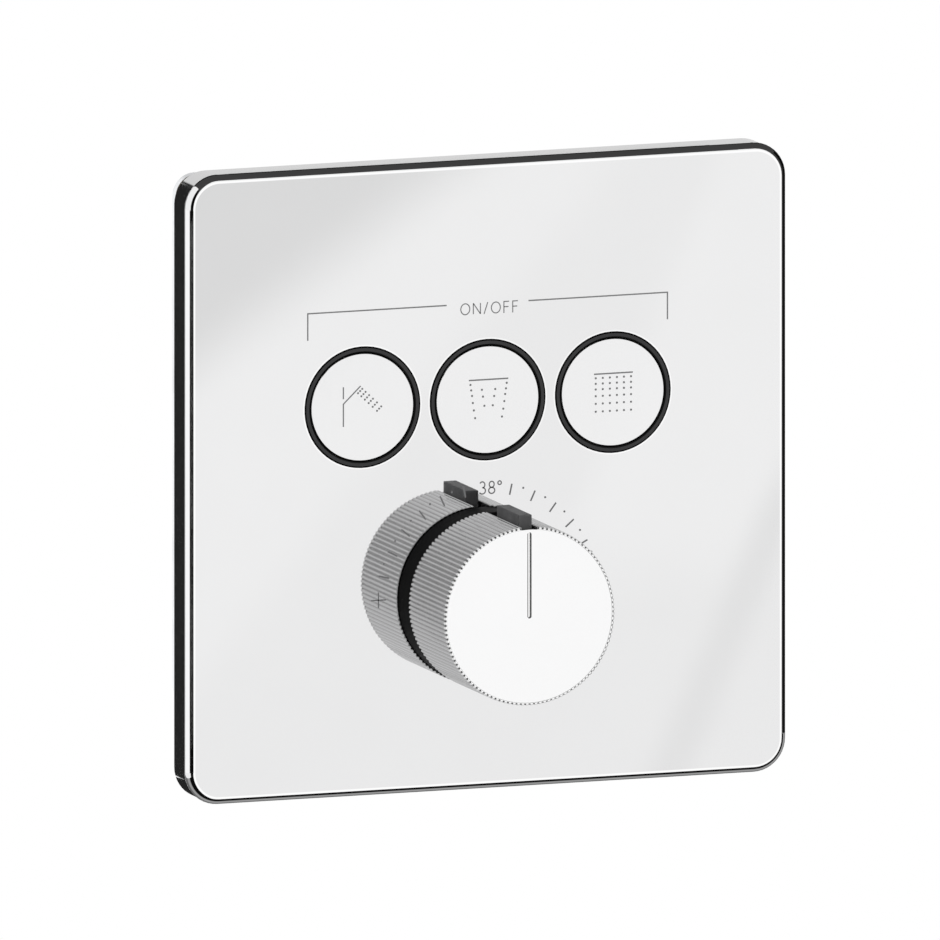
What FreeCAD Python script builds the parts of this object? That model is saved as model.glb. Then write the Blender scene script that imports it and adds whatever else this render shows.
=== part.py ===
import FreeCAD, Part
import Sketcher
import math
import os
import re
from FreeCAD import Placement, Rotation, Vector

# Concealed thermostatic shower valve: square trim plate with three push buttons and a knurled
# temperature knob, on a brass valve body that sits in the wall.
#
# Millimetres. +X right and +Z up as seen from the front, +Y into the wall. The origin is the middle
# of the plate on the finished wall, so the trim lies at negative Y and the valve at positive Y.

doc = FreeCAD.newDocument("shower_valve")

# ---------------------------------------------------------------- driving dimensions

SIZES = [
    # trim plate and the frame behind it
    ("plate_half", 85.0), ("plate_thick", 3.0), ("plate_corner", 9.0),
    ("plate_round", 2.1), ("plate_back_round", 0.6), ("trim_depth", 12.3),
    ("frame_half", 84.7), ("frame_wall", 2.2), ("frame_web", 1.5), ("frame_window", 74.5),
    ("seal_thick", 0.8), ("seal_outer", 84.0), ("seal_inner", 80.5), ("seal_lip", 1.4),
    # three buttons in a row
    ("button_pitch", 35.5), ("button_height", 20.2), ("button_radius", 14.65),
    ("button_thick", 2.5), ("button_travel", 3.5), ("bezel_bore", 14.72), ("bezel_radius", 16.4),
    ("bezel_hole", 16.44), ("bezel_flange", 17.5), ("bezel_crown", 0.2),
    ("rod_radius", 3.0), ("rod_fit", 3.05), ("collar_radius", 5.0),
    # temperature knob
    ("knob_height", -33.2), ("knob_radius", 24.2), ("knob_teeth", 120), ("tooth_depth", 0.45),
    ("knob_front", 45.0), ("knob_back", 17.15), ("knob_bore", 21.5), ("knob_edge", 0.3),
    ("disc_radius", 23.4), ("disc_thick", 1.0), ("pointer_width", 1.2), ("pointer_top", 22.7),
    ("pointer_deep", 0.8), ("slot_half", 2.2), ("hub_radius", 21.4), ("hub_inner", 19.4),
    ("base_radius", 23.7), ("base_front", 16.9), ("base_bore", 17.6), ("spigot_radius", 18.95),
    ("spigot_hole", 19.0),
    # safety button on top of the knob
    ("tab_half", 1.8), ("tab_front", 41.7), ("tab_back", 24.5), ("tab_top", 26.9),
    ("tab_travel", 1.6),
    # shut-off cartridges behind the buttons
    ("cart_radius", 11.0), ("cart_bore", 11.05), ("cart_front", 14.1), ("cart_back", 40.0),
    ("cart_neck", 6.9), ("neck_front", 6.0), ("gland_thread", 12.95), ("gland_bore", 7.0),
    ("gland_front", 4.5), ("gland_hex", 15.0),
    # thermostatic cartridge
    ("thermo_radius", 17.0), ("thermo_bore", 17.05), ("thermo_front", 16.2), ("thermo_back", 60.0),
    ("thermo_inner", 9.5), ("spindle_radius", 5.0), ("spindle_fit", 5.05), ("screw_thread", 5.5),
    ("lead_nut_radius", 9.4), ("lead_nut_front", 12.0), ("lead_nut_back", 22.0),
    # brass valve body
    ("body_front", 8.0), ("chamber_radius", 15.5), ("thermo_chamber", 22.0), ("body_back", 66.0),
    ("port_radius", 13.5), ("port_collar", 16.0), ("port_thread", 9.32), ("thread_length", 12.0), ("screen_seat", 8.9),
    ("inlet_reach", 58.0), ("inlet_depth", 36.0), ("outlet_top", 60.0), ("outlet_depth", 30.0),
    ("gallery_radius", 8.5), ("gallery_bore", 5.5), ("gallery_depth", 51.0), ("gallery_end", 53.0),
    # mounting bracket, posts and trim carrier
    ("bracket_half_w", 60.0), ("bracket_half_h", 72.0), ("bracket_thick", 2.5),
    ("wall_hole_x", 45.0), ("wall_hole_z", 64.0), ("wall_hole_radius", 3.3),
    ("post_x", 55.0), ("post_z", 56.0), ("post_radius", 4.0),
    ("carrier_half", 78.4), ("carrier_front", 7.7), ("carrier_thick", 3.0), ("carrier_rim", 3.0),
]

dims = doc.addObject("Spreadsheet::Sheet", "dims")
for row, (name, value) in enumerate(SIZES, start=1):
    dims.set("A%d" % row, name)
    dims.set("B%d" % row, "%g" % value)
    dims.setAlias("B%d" % row, name)
doc.recompute()
ALIASES = {name for name, _ in SIZES}


def ex(text):
    """A cell name in an expression gets the sheet's name in front of it."""
    def link(match):
        word = match.group(0)
        return "dims." + word if word in ALIASES else word
    return re.sub(r"[a-z_]+[a-z_0-9]*", link, str(text))


def size(name):
    return float(dims.get(name))


scratch = doc.addObject("Spreadsheet::Sheet", "scratch")
WORKED_OUT = {}


def number(text):
    """The value of an expression, worked out in a cell of a second sheet."""
    text = str(text)
    if text not in WORKED_OUT:
        scratch.set("A1", "=" + ex(text))
        scratch.recompute()
        WORKED_OUT[text] = float(scratch.get("A1"))
    return WORKED_OUT[text]


# ---------------------------------------------------------------- helpers

NODES = []


def place(obj, x="0", y="0", z="0", turn=None):
    """Sets where an object stands, with each coordinate bound to the sheet."""
    obj.Placement = Placement(Vector(0, 0, 0), turn or Rotation())
    for axis, text in zip("xyz", (x, y, z)):
        if str(text) != "0":
            obj.setExpression("Placement.Base." + axis, ex(text))


def new_body(label, x="0", y="0", z="0"):
    body = doc.addObject("PartDesign::Body", label)
    body.Label = label
    place(body, x, y, z)
    NODES.append(body)
    return body


def origin_item(body, role):
    return next(item for item in body.Origin.OriginFeatures if item.Role == role)


def new_sketch(body, role="XY_Plane", offset=None):
    sketch = body.newObject("Sketcher::SketchObject", body.Name + "_sketch")
    sketch.AttachmentSupport = [(origin_item(body, role), "")]
    sketch.MapMode = "FlatFace"
    if offset is not None:
        sketch.setExpression("AttachmentOffset.Base.z", ex(offset))
    return sketch


def bind(sketch, kind, text, *where):
    """A sized constraint whose value follows an expression."""
    index = sketch.addConstraint(Sketcher.Constraint(kind, *where, number(text)))
    sketch.setExpression("Constraints[%d]" % index, ex(text))


def pin_point(sketch, geometry, point, x, y):
    bind(sketch, "DistanceX", x, -1, 1, geometry, point)
    bind(sketch, "DistanceY", y, -1, 1, geometry, point)


def polygon(sketch, points):
    """A closed outline whose corners are pairs of expressions."""
    spots = [Vector(number(x), number(y), 0) for x, y in points]
    count = len(points)
    first = sketch.GeometryCount
    for i in range(count):
        sketch.addGeometry(Part.LineSegment(spots[i], spots[(i + 1) % count]), False)
    for i in range(count):
        after = first + (i + 1) % count
        sketch.addConstraint(Sketcher.Constraint("Coincident", first + i, 2, after, 1))
    for i, (x, y) in enumerate(points):
        pin_point(sketch, first + i, 1, x, y)


def rectangle(sketch, x0, y0, x1, y1):
    polygon(sketch, [(x0, y0), (x1, y0), (x1, y1), (x0, y1)])


def rounded(sketch, half_w, radius, half_h=None):
    """A rectangle about the middle whose corners are quarter circles, joined by four lines."""
    half_h = half_h or half_w
    arcs = []
    for i, (sx, sy) in enumerate([(1, 1), (-1, 1), (-1, -1), (1, -1)]):
        centre_x = "%d * (%s - (%s))" % (sx, half_w, radius)
        centre_y = "%d * (%s - (%s))" % (sy, half_h, radius)
        middle = Vector(number(centre_x), number(centre_y), 0)
        ring = Part.Circle(middle, Vector(0, 0, 1), number(radius))
        arc = Part.ArcOfCircle(ring, i * math.pi / 2, (i + 1) * math.pi / 2)
        index = sketch.addGeometry(arc, False)
        pin_point(sketch, index, 3, centre_x, centre_y)
        bind(sketch, "Radius", radius, index)
        for point in (1, 2):
            level = (i + point) % 2 == 1
            kind, text = ("DistanceY", centre_y) if level else ("DistanceX", centre_x)
            bind(sketch, kind, text, -1, 1, index, point)
        arcs.append(index)
    corners = [(sketch.Geometry[index].StartPoint, sketch.Geometry[index].EndPoint)
               for index in arcs]
    for i in range(4):
        after = (i + 1) % 4
        line = sketch.addGeometry(Part.LineSegment(corners[i][1], corners[after][0]), False)
        sketch.addConstraint(Sketcher.Constraint("Coincident", arcs[i], 2, line, 1))
        sketch.addConstraint(Sketcher.Constraint("Coincident", line, 2, arcs[after], 1))


def circle(sketch, x, y, radius):
    middle = Vector(number(x), number(y), 0)
    ring = Part.Circle(middle, Vector(0, 0, 1), number(radius))
    index = sketch.addGeometry(ring, False)
    pin_point(sketch, index, 3, x, y)
    bind(sketch, "Radius", radius, index)


def feature(body, kind, sketch, **settings):
    item = body.newObject("PartDesign::" + kind, body.Name + "_" + kind.lower())
    item.Profile = sketch
    for key, value in settings.items():
        setattr(item, key, value)
    sketch.Visibility = False
    return item


def revolve(body, points, axis="V_Axis", kind="Revolution"):
    """Turns an outline of (radius, y) pairs about the body's Y axis."""
    sketch = new_sketch(body)
    polygon(sketch, points)
    return feature(body, kind, sketch, ReferenceAxis=(sketch, [axis]), Angle=360)


def pad(body, sketch, length, back=False):
    item = feature(body, "Pad", sketch, Reversed=back)
    item.setExpression("Length", ex(length))
    return item


def pocket(body, sketch, length=None, back=False, both=False):
    item = feature(body, "Pocket", sketch, Reversed=back)
    if length is None:
        item.Type = "ThroughAll"
        item.Midplane = both
    else:
        item.setExpression("Length", ex(length))
    return item


def polar(body, item, count, axis="Y_Axis"):
    pattern = body.newObject("PartDesign::PolarPattern", body.Name + "_pattern")
    pattern.Originals = [item]
    pattern.Axis = (origin_item(body, axis), [""])
    pattern.Angle = 360
    pattern.setExpression("Occurrences", ex(count))
    body.Tip = pattern
    return pattern


def dress(body, kind, amount, wanted):
    """Fillets or chamfers those edges of the body's last feature that the test picks."""
    doc.recompute()
    base = body.Tip
    names = ["Edge%d" % (i + 1) for i, edge in enumerate(base.Shape.Edges) if wanted(edge)]
    item = body.newObject("PartDesign::" + kind, body.Name + "_" + kind.lower())
    item.Base = (base, names)
    item.setExpression("Radius" if kind == "Fillet" else "Size", ex(amount))
    body.Tip = item
    return item


def along(edge, axis):
    """Whether an edge is straight and runs along the axis."""
    if not isinstance(edge.Curve, (Part.Line, Part.LineSegment)):
        return False
    line = edge.tangentAt(edge.FirstParameter)
    return abs(abs(line.dot(axis)) - 1) < 1e-6


def at_y(edge, y, reach):
    """Whether an edge lies in the plane at y, at least as far out as reach in X or Z."""
    box = edge.BoundBox
    far = max(abs(box.XMin), abs(box.XMax), abs(box.ZMin), abs(box.ZMax))
    return abs(box.YMin - y) < 1e-4 and abs(box.YMax - y) < 1e-4 and far > reach


# plain solids, for pieces that are made by joining and boring

TO_Y = Rotation(Vector(1, 0, 0), -90)
TO_X = Rotation(Vector(0, 1, 0), 90)
TURNS = {"x": TO_X, "y": TO_Y, "z": Rotation()}


def cylinder(axis, radius, length, x="0", y="0", z="0"):
    item = doc.addObject("Part::Cylinder", "cylinder")
    item.setExpression("Radius", ex(radius))
    item.setExpression("Height", ex(length))
    place(item, x, y, z, TURNS[axis])
    return item


def cone(axis, radius, end_radius, length, x="0", y="0", z="0"):
    item = doc.addObject("Part::Cone", "cone")
    item.setExpression("Radius1", ex(radius))
    item.setExpression("Radius2", ex(end_radius))
    item.setExpression("Height", ex(length))
    place(item, x, y, z, TURNS[axis])
    return item


def hexagon(axis, radius, length, x="0", y="0", z="0"):
    item = doc.addObject("Part::Prism", "hexagon")
    item.Polygon = 6
    item.setExpression("Circumradius", ex(radius))
    item.setExpression("Height", ex(length))
    place(item, x, y, z, TURNS[axis])
    return item


def block(x0, x1, y0, y1, z0, z1):
    item = doc.addObject("Part::Box", "block")
    for side, low, high in (("Length", x0, x1), ("Width", y0, y1), ("Height", z0, z1)):
        item.setExpression(side, ex("(%s) - (%s)" % (high, low)))
    place(item, x0, y0, z0)
    return item


def join(items, label=None):
    if len(items) == 1:
        return items[0]
    item = doc.addObject("Part::MultiFuse", label or "joined")
    item.Shapes = items
    item.Refine = True
    return item


def cut(base, tools, label=None):
    item = doc.addObject("Part::Cut", label or "cut")
    item.Base = base
    item.Tool = join(tools)
    item.Refine = True
    return item


def keep(item, label):
    item.Label = label
    NODES.append(item)
    return item


def group(items, label):
    """Identical pieces that share one node."""
    item = doc.addObject("Part::Compound", label)
    item.Links = items
    return keep(item, label)


KNOB_Z = "knob_height"
AXES = {"hand": "-button_pitch", "jet": "0", "rain": "button_pitch"}

# ---------------------------------------------------------------- cover: plate, frame and seal


def build_front_plate():
    body = new_body("front_plate", y="plate_thick - trim_depth")
    outline = new_sketch(body, "XZ_Plane")
    rounded(outline, "plate_half", "plate_corner")
    pad(body, outline, "plate_thick")
    dress(body, "Fillet", "plate_round", lambda edge: at_y(edge, -size("plate_thick"), 70))
    dress(body, "Fillet", "plate_back_round", lambda edge: at_y(edge, 0, 70))
    holes = new_sketch(body, "XZ_Plane")
    for x in AXES.values():
        circle(holes, x, "button_height", "bezel_hole")
    circle(holes, "0", KNOB_Z, "spigot_hole")
    pocket(body, holes, both=True)


def build_plate_frame():
    body = new_body("plate_frame", y="-seal_thick")
    outline = new_sketch(body, "XZ_Plane")
    rounded(outline, "frame_half", "plate_corner - 0.3")
    pad(body, outline, "trim_depth - plate_thick - seal_thick")
    inside = new_sketch(body, "XZ_Plane")
    rounded(inside, "frame_half - frame_wall", "plate_corner - 2.5")
    pocket(body, inside, "trim_depth - plate_thick - seal_thick - frame_web", back=True)
    window = new_sketch(body, "XZ_Plane")
    rounded(window, "frame_window", "4")
    pocket(body, window, both=True)
    grub = new_sketch(body, "XY_Plane", "-frame_half - 1")
    for x in ("-50", "50"):
        circle(grub, x, "-3.7", "2.05")
    pocket(body, grub, "frame_wall + 2", back=True)


def build_wall_seal():
    body = new_body("wall_seal")
    outline = new_sketch(body, "XZ_Plane")
    rounded(outline, "seal_outer", "plate_corner - 1")
    rounded(outline, "seal_inner", "plate_corner - 4.4")
    pad(body, outline, "seal_thick")
    lip = new_sketch(body, "XZ_Plane")
    rounded(lip, "frame_half - frame_wall - 0.1", "plate_corner - 2.6")
    rounded(lip, "seal_inner", "plate_corner - 4.4")
    pad(body, lip, "seal_thick + seal_lip")


# ---------------------------------------------------------------- trim carrier and its fixings


def corner_points(x, z):
    return [(sx + x, sz + z) for sx in ("-", "") for sz in ("-", "")]


def countersunk(y_head, head, shank, head_length, length, direction, x, z):
    """A countersunk screw along Y: direction 1 drives it towards +Y, -1 towards -Y."""
    if direction > 0:
        top = cone("y", head, shank, head_length, x, y_head, z)
        stem = cylinder("y", shank, length, x, "%s + %s - 0.01" % (y_head, head_length), z)
        drive = hexagon("y", "%s * 0.5" % shank, "%s * 0.7" % head_length, x, y_head, z)
    else:
        start = "%s - %s" % (y_head, head_length)
        top = cone("y", shank, head, head_length, x, start, z)
        stem = cylinder("y", shank, length, x, "%s - %s + 0.01" % (start, length), z)
        drive = hexagon("y", "%s * 0.5" % shank, "%s * 0.7" % head_length, x,
                        "%s - %s * 0.7" % (y_head, head_length), z)
    return cut(join([top, stem]), [drive])


def build_trim_carrier():
    body = new_body("trim_carrier", y="carrier_thick - carrier_front")
    outline = new_sketch(body, "XZ_Plane")
    rounded(outline, "carrier_half", "5")
    pad(body, outline, "carrier_thick")
    rim = new_sketch(body, "XZ_Plane")
    rounded(rim, "carrier_half", "5")
    rounded(rim, "carrier_half - 2", "3")
    pad(body, rim, "carrier_rim", back=True)
    ribs = new_sketch(body, "XZ_Plane")
    for z in ("-4.5", "46"):
        rectangle(ribs, "-(carrier_half - 1)", z, "carrier_half - 1", "%s + 2" % z)
    for x in ("-66", "64"):
        rectangle(ribs, x, "-(carrier_half - 1)", "%s + 2" % x, "-5.5")
        rectangle(ribs, x, "-1.5", "%s + 2" % x, "45")
        rectangle(ribs, x, "49", "%s + 2" % x, "carrier_half - 1")
    pad(body, ribs, "carrier_rim - 1", back=True)
    holes = new_sketch(body, "XZ_Plane")
    for x in AXES.values():
        circle(holes, x, "button_height", "bezel_radius + 0.2")
    circle(holes, "0", KNOB_Z, "22")
    for x, z in corner_points("post_x", "post_z"):
        circle(holes, x, z, "2.2")
    pocket(body, holes, both=True)
    for x, z in corner_points("post_x", "post_z"):
        sink = new_sketch(body, "XZ_Plane", "carrier_thick")
        circle(sink, x, z, "4.3")
        cone_cut = pocket(body, sink, "1.9")
        cone_cut.TaperAngle = -45
    windows = new_sketch(body, "XZ_Plane")
    for low, high in (("-60", "-28"), ("28", "60")):
        rectangle(windows, low, "-46", high, "-10")
    pocket(body, windows, both=True)


def build_fixings():
    posts = []
    for x, z in corner_points("post_x", "post_z"):
        start = "carrier_thick - carrier_front"
        shaft = hexagon("y", "post_radius", "body_back + carrier_front - carrier_thick",
                        x, start, z)
        front = cylinder("y", "2.05", "12", x, start, z)
        rear = cylinder("y", "2.05", "12", x, "body_back - 12", z)
        posts.append(cut(shaft, [front, rear]))
    group(posts, "carrier_posts")
    group([countersunk("-carrier_front", "4.2", "2", "2", "9", 1, x, z)
           for x, z in corner_points("post_x", "post_z")], "carrier_screws")
    group([countersunk("body_back + bracket_thick", "4.2", "2", "2", "9", -1, x, z)
           for x, z in corner_points("post_x", "post_z")], "post_screws")
    grubs = []
    for x in ("-50", "50"):
        screw = cylinder("z", "2", "5.3", x, "-4.5", "-frame_half + 0.7")
        drive = hexagon("z", "1.15", "2", x, "-4.5", "-frame_half + 0.7")
        grubs.append(cut(screw, [drive]))
    group(grubs, "grub_screws")


# ---------------------------------------------------------------- buttons and shut-off cartridges


def build_button(name, x):
    """Everything on one button's axis, from its cap to the piston that shuts the water off."""
    z = "button_height"
    front = "-trim_depth"

    bezel = new_body(name + "_bezel", x, "0", z)
    revolve(bezel, [
        ("bezel_bore", front + " + 0.5"), ("bezel_bore + 0.32", front + " - bezel_crown"),
        ("bezel_radius - 0.32", front + " - bezel_crown"), ("bezel_radius", front + " + 0.5"),
        ("bezel_radius", "-trim_depth + plate_thick"), ("bezel_flange", "-trim_depth + plate_thick"),
        ("bezel_flange", "-carrier_front - 0.1"), ("bezel_radius - 0.1", "-carrier_front - 0.1"),
        ("bezel_radius - 0.1", "-3"), ("bezel_bore", "-3"),
    ])

    cap = new_body(name + "_button", x, "0", z)
    revolve(cap, [
        ("0", front), ("button_radius - 0.3", front), ("button_radius", front + " + 0.3"),
        ("button_radius", front + " + button_thick"), ("13.6", front + " + button_thick"),
        ("13.6", "-5"), ("12.2", "-5"), ("12.2", front + " + button_thick"),
        ("collar_radius", front + " + button_thick"), ("collar_radius", "-3.5"),
        ("rod_radius + 0.02", "-3.5"), ("rod_radius + 0.02", "-9.2"), ("0", "-9.2"),
    ])
    ribs = new_sketch(cap, "XZ_Plane", "9.9")
    rectangle(ribs, "4.8", "-0.6", "12.4", "0.6")
    rib = pad(cap, ribs, "4", back=True)
    polar(cap, rib, "3")

    rod = new_body(name + "_push_rod", x, "0", z)
    revolve(rod, [
        ("0", "-9.1"), ("rod_radius - 0.4", "-9.1"), ("rod_radius", "-8.7"),
        ("rod_radius", "-3.4"), ("collar_radius", "-3.4"), ("collar_radius", "-2.4"),
        ("rod_radius", "-2.4"), ("rod_radius", "34"), ("2", "34"), ("2", "42.6"), ("0", "42.6"),
    ])

    piston = new_body(name + "_piston", x, "0", z)
    revolve(piston, [
        ("2.03", "cart_back + 0.1"), ("6", "cart_back + 0.1"), ("6", "cart_back + 1.6"),
        ("4.5", "cart_back + 2.6"), ("2.03", "cart_back + 2.6"),
    ])

    gland_hex = hexagon("y", "gland_hex", "body_front - gland_front", x, "gland_front", z)
    gland_stem = cylinder("y", "gland_thread", "14 - body_front", x, "body_front - 0.01", z)
    gland_hole = cylinder("y", "gland_bore", "20", x, "0", z)
    gland = cut(join([gland_hex, gland_stem]), [gland_hole], name + "_gland_nut")
    keep(gland, name + "_gland_nut")

    cartridge = new_body(name + "_shutoff_cartridge", x, "0", z)
    revolve(cartridge, [
        ("rod_fit", "neck_front"), ("cart_neck - 0.5", "neck_front"),
        ("cart_neck", "neck_front + 0.5"), ("cart_neck", "cart_front"),
        ("cart_radius", "cart_front"), ("cart_radius", "17"), ("cart_radius - 1.2", "17"),
        ("cart_radius - 1.2", "18.6"), ("cart_radius", "18.6"), ("cart_radius", "cart_back"),
        ("4.6", "cart_back"), ("4.6", "cart_back - 3"), ("8.4", "cart_back - 5"),
        ("8.4", "22"), ("rod_fit", "20"),
    ])
    ports = new_sketch(cartridge, "XY_Plane")
    rectangle(ports, "-3", "25", "3", "33")
    port = pocket(cartridge, ports, "20", back=True)
    polar(cartridge, port, "4")
    seal = new_body(name + "_cartridge_seal", x, "0", z)
    revolve(seal, [
        ("cart_radius - 1.15", "17.05"), ("cart_bore - 0.02", "17.05"),
        ("cart_bore - 0.02", "18.55"), ("cart_radius - 1.15", "18.55"),
    ])


def spring(label, radius, wire, turns, length, x, y, z, turn=TO_Y, sides=4, steps=12):
    """A coil spring: a square wire carried along a helix by a formula, with flattened ends."""
    count = int(turns * steps)
    sections = []
    for i in range(count + 1):
        t = i / count
        angle = 2 * math.pi * turns * t
        ease = min(1.0, max(0.0, (t * turns - 0.6) / (turns - 1.2)))
        height = wire / 2 + (length - wire) * ease
        corners = []
        for k in range(sides):
            a = math.pi / 4 + 2 * math.pi * k / sides
            r = radius + wire / 2 * math.sqrt(2) * math.cos(a)
            h = height + wire / 2 * math.sqrt(2) * math.sin(a) * 0.98
            corners.append(Vector(r * math.cos(angle), r * math.sin(angle), h))
        sections.append(Part.makePolygon(corners + [corners[0]]))
    coil = doc.addObject("Part::Feature", label)
    coil.Label = label
    coil.Shape = Part.makeLoft(sections, True, True)
    place(coil, x, y, z, turn)
    NODES.append(coil)


# ---------------------------------------------------------------- knob


def build_knob():
    sleeve = new_body("knob_sleeve", z=KNOB_Z)
    revolve(sleeve, [
        ("knob_bore", "-knob_front + disc_thick"), ("disc_radius + 0.05", "-knob_front + disc_thick"),
        ("disc_radius + 0.05", "-knob_front"), ("knob_radius - knob_edge", "-knob_front"),
        ("knob_radius", "-knob_front + knob_edge"), ("knob_radius", "-knob_back - knob_edge"),
        ("knob_radius - knob_edge", "-knob_back"), ("knob_bore", "-knob_back"),
    ])
    valley = new_sketch(sleeve, "XZ_Plane")
    half = "knob_radius * 3.1416 / knob_teeth"
    polygon(valley, [
        ("-(%s) * 0.72 * 1.5" % half, "knob_radius + tooth_depth * 0.5"),
        ("-0.05", "knob_radius - tooth_depth"), ("0.05", "knob_radius - tooth_depth"),
        ("(%s) * 0.72 * 1.5" % half, "knob_radius + tooth_depth * 0.5"),
    ])
    groove = pocket(sleeve, valley, both=True)
    polar(sleeve, groove, "knob_teeth")
    slot = new_sketch(sleeve, "XZ_Plane")
    rectangle(slot, "-slot_half", "15", "slot_half", "30")
    pocket(sleeve, slot, both=True)

    disc = new_body("knob_disc", z=KNOB_Z)
    revolve(disc, [
        ("0", "-knob_front"), ("disc_radius - 0.04", "-knob_front"),
        ("disc_radius", "-knob_front + 0.04"), ("disc_radius", "-knob_front + disc_thick"),
        ("knob_bore - 0.1", "-knob_front + disc_thick"),
        ("knob_bore - 0.1", "-knob_front + 3.2"), ("19.2", "-knob_front + 3.2"),
        ("19.2", "-knob_front + disc_thick + 0.6"), ("0", "-knob_front + disc_thick + 0.6"),
    ])
    pointer = new_sketch(disc, "XZ_Plane", "knob_front")
    rectangle(pointer, "-pointer_width / 2", "-pointer_width / 2", "pointer_width / 2", "pointer_top")
    pocket(disc, pointer, "pointer_deep")
    dress(disc, "Fillet", "pointer_width / 2 - 0.02", lambda edge: along(edge, Vector(0, 1, 0)))

    hub = new_body("knob_hub", z=KNOB_Z)
    revolve(hub, [
        ("2.2", "-38"), ("hub_inner", "-38"), ("hub_inner", "-41.6"), ("hub_radius", "-41.6"),
        ("hub_radius", "-18"), ("hub_inner", "-18"), ("hub_inner", "-35.5"), ("8", "-35.5"),
        ("8", "-22"), ("4.05", "-22"), ("4.05", "-37"), ("2.2", "-37"),
    ])
    opening = new_sketch(hub, "XZ_Plane", "tab_back - 0.3")
    rectangle(opening, "-2", "15", "2", "25")
    pocket(hub, opening, "tab_front - tab_back + 0.6", back=True)
    ribs = new_sketch(hub, "XZ_Plane", "25")
    rectangle(ribs, "7.8", "-0.8", "hub_inner + 0.2", "0.8")
    rib = pad(hub, ribs, "10.6")
    polar(hub, rib, "6")


def build_safety_button():
    tab = new_body("safety_button", z=KNOB_Z)
    head = new_sketch(tab, "XZ_Plane", "tab_back")
    rectangle(head, "-tab_half", "17.2", "tab_half", "tab_top")
    pad(tab, head, "tab_front - tab_back")
    dress(tab, "Fillet", "0.25", lambda edge: edge.BoundBox.ZMin > size("tab_top") - 0.01)
    foot = new_sketch(tab, "XZ_Plane", "26")
    rectangle(foot, "-4", "17.2", "4", "18.4")
    pad(tab, foot, "8")
    finger = new_sketch(tab, "XZ_Plane", "15")
    rectangle(finger, "-tab_half", "17.2", "tab_half", "18.6")
    pad(tab, finger, "tab_back - 15 + 1")


def build_knob_fixings():
    head = cylinder("y", "3.5", "2.6", "0", "-40.7", KNOB_Z)
    shank = cylinder("y", "2", "15", "0", "-38.11", KNOB_Z)
    drive = hexagon("y", "1.7", "1.6", "0", "-40.7", KNOB_Z)
    keep(cut(join([head, shank]), [drive], "knob_screw"), "knob_screw")

    ring = new_body("knob_base_ring", z=KNOB_Z)
    revolve(ring, [
        ("base_bore", "-14.5"), ("hub_inner + 0.1", "-14.5"), ("hub_inner + 0.1", "-base_front"),
        ("base_radius - 0.2", "-base_front"), ("base_radius", "-base_front + 0.2"),
        ("base_radius", "-trim_depth"), ("spigot_radius", "-trim_depth"),
        ("spigot_radius", "-9"), ("base_bore", "-9"),
    ])
    lug = new_sketch(ring, "XZ_Plane", "14.4")
    rectangle(lug, "-5.2", "18.9", "-2.6", "20.5")
    pad(ring, lug, "2.2")

    stop = new_body("temperature_stop_ring", z=KNOB_Z)
    revolve(stop, [("10", "-20"), ("15", "-20"), ("15", "-17.4"), ("10", "-17.4")])
    sector = new_sketch(stop, "XZ_Plane", "17.4")
    polygon(sector, [
        ("-14", "-1.2"), ("-18.5", "-1.2"), ("-17.4", "-6.3"), ("-13.1", "-13.1"),
        ("-6.3", "-17.4"), ("6.3", "-17.4"), ("13.1", "-13.1"), ("17.4", "-6.3"),
        ("18.5", "-1.2"), ("14", "-1.2"), ("10", "-10"), ("0", "-14"), ("-10", "-10"),
    ])
    pad(stop, sector, "2.6")


# ---------------------------------------------------------------- thermostatic cartridge


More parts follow.
